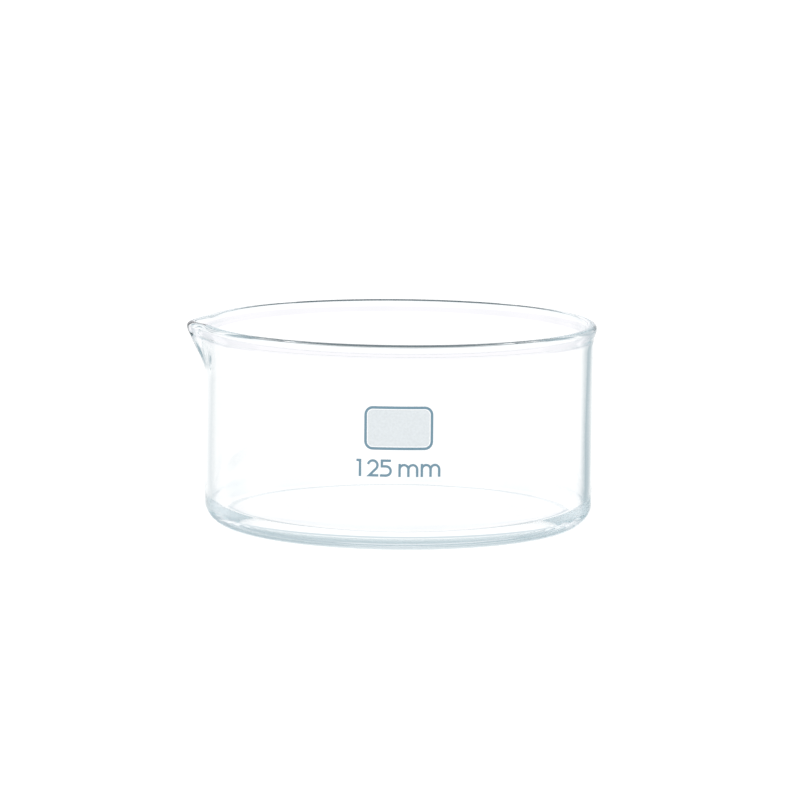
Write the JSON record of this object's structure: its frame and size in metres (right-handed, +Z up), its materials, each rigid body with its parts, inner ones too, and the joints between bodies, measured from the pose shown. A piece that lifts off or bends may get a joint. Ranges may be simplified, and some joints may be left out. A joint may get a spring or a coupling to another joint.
{
  "type": "evaporating dish",
  "caption": "Flat-bottomed clear glass evaporating dish with straight walls, a fire-polished flared lip, a pulled pouring spout and an enamelled size mark.",
  "frame": {"origin": "centre of the flat underside, on the axis of the round wall", "axes": "+Z up along the dish's axis, -X towards the pouring spout, -Y through the printed front of the wall"},
  "size_m": [0.1319, 0.1268, 0.065],
  "materials": {
    "clear_glass": "clear, fire-polished",
    "blue_grey_enamel": "fired enamel print, satin",
    "pale_enamel": "fired enamel print, matt"
  },
  "bodies": {
    "root": {"dish_body": "clear_glass", "marking_frame": "blue_grey_enamel", "marking_patch": "pale_enamel", "size_digit_1": "blue_grey_enamel", "size_digit_2": "blue_grey_enamel", "size_digit_5": "blue_grey_enamel", "size_letter_m_left": "blue_grey_enamel", "size_letter_m_right": "blue_grey_enamel"}
  },
  "joints": []
}
